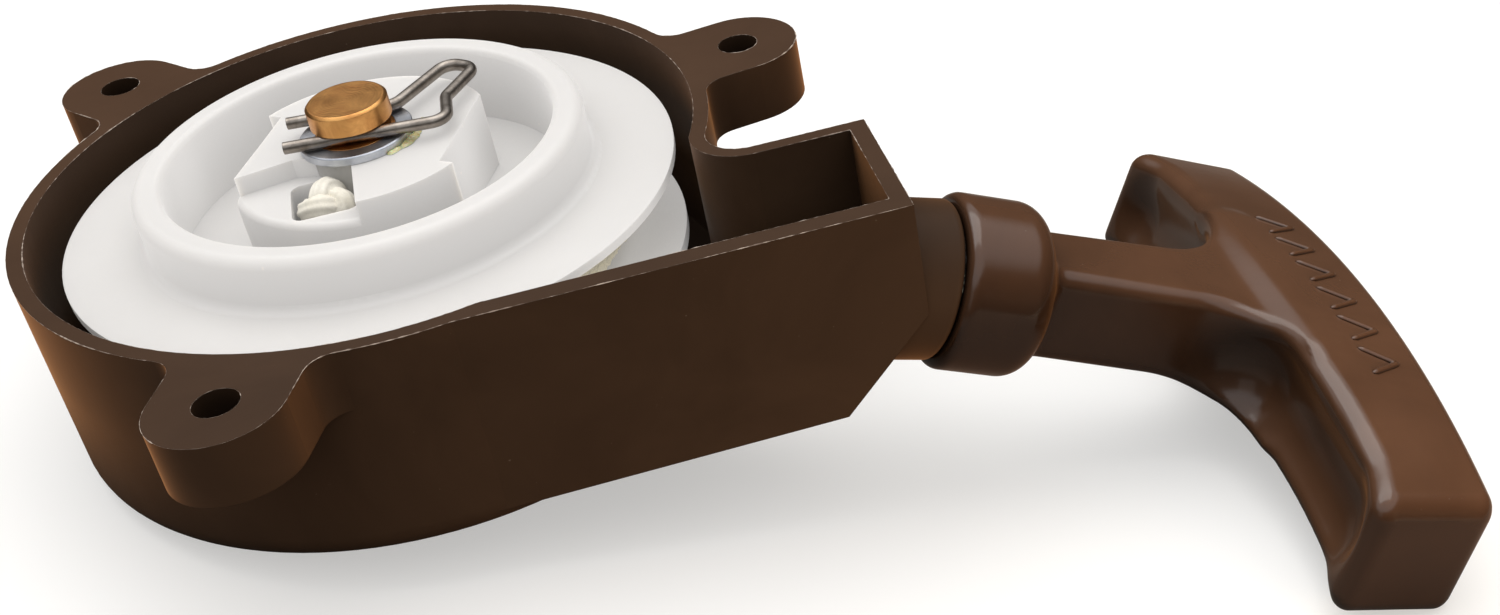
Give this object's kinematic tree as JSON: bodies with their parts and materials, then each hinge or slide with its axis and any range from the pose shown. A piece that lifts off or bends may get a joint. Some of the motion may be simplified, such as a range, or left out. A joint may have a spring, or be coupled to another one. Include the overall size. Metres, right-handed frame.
{
  "type": "recoil starter",
  "caption": "Recoil starter for a small engine: moulded housing with a rope reel, ratchet hub, recoil spring and T-shaped pull handle.",
  "frame": {"origin": "where the reel's axis crosses the mounting face of the ears", "axes": "+Z along the reel's axis towards the engine, out of the open side; +X along the rope box towards the outlet and handle"},
  "size_m": [0.1715, 0.1313, 0.0636],
  "materials": {
    "housing_plastic": "semi-gloss dark brown moulding",
    "eyelet_steel": "pressed steel, polished by the rope",
    "post_brass": "turned brass",
    "sheet_steel": "zinc plated sheet",
    "spring_steel": "blued spring strip",
    "screw_steel": "zinc plated",
    "washer_steel": "zinc plated",
    "wire_steel": "drawn wire, oily",
    "rope": "braided cream cord",
    "reel_nylon": "white nylon moulding",
    "bush_acetal": "pale acetal moulding",
    "handle_plastic": "glossy dark brown moulding"
  },
  "bodies": {
    "housing": {"starter_housing": "housing_plastic", "outlet_eyelet": "eyelet_steel", "centre_post": "post_brass", "spring_case": "sheet_steel", "recoil_spring": "spring_steel", "spring_cover": "sheet_steel", "cover_screws": "screw_steel", "thrust_washer": "washer_steel", "top_washer": "washer_steel", "retaining_clip": "wire_steel", "rope_lead": "rope", "rope_run": "rope"},
    "reel": {"rope_reel": "reel_nylon", "reel_bush": "bush_acetal", "rope_coil": "rope", "reel_knot": "rope"},
    "handle": {"handle_grip": "handle_plastic", "handle_rope": "rope", "handle_knot": "rope", "knot_washer": "washer_steel"}
  },
  "joints": [
    {"name": "reel_spin", "type": "hinge", "parent": "housing", "child": "reel", "pos_m": [0, 0, 0], "axis": [0, 0, 1], "range_deg": [0, 1570], "deforming": ["recoil_spring"]},
    {"name": "handle_pull", "type": "slide", "parent": "housing", "child": "handle", "axis": [0.913, -0.0319, -0.4067], "range_m": [0, 0.85], "deforming": ["rope_run"]}
  ],
  "couplings": [
    {"joint": "handle_pull", "follows": "reel_spin", "m_per_rad": 0.031}
  ]
}
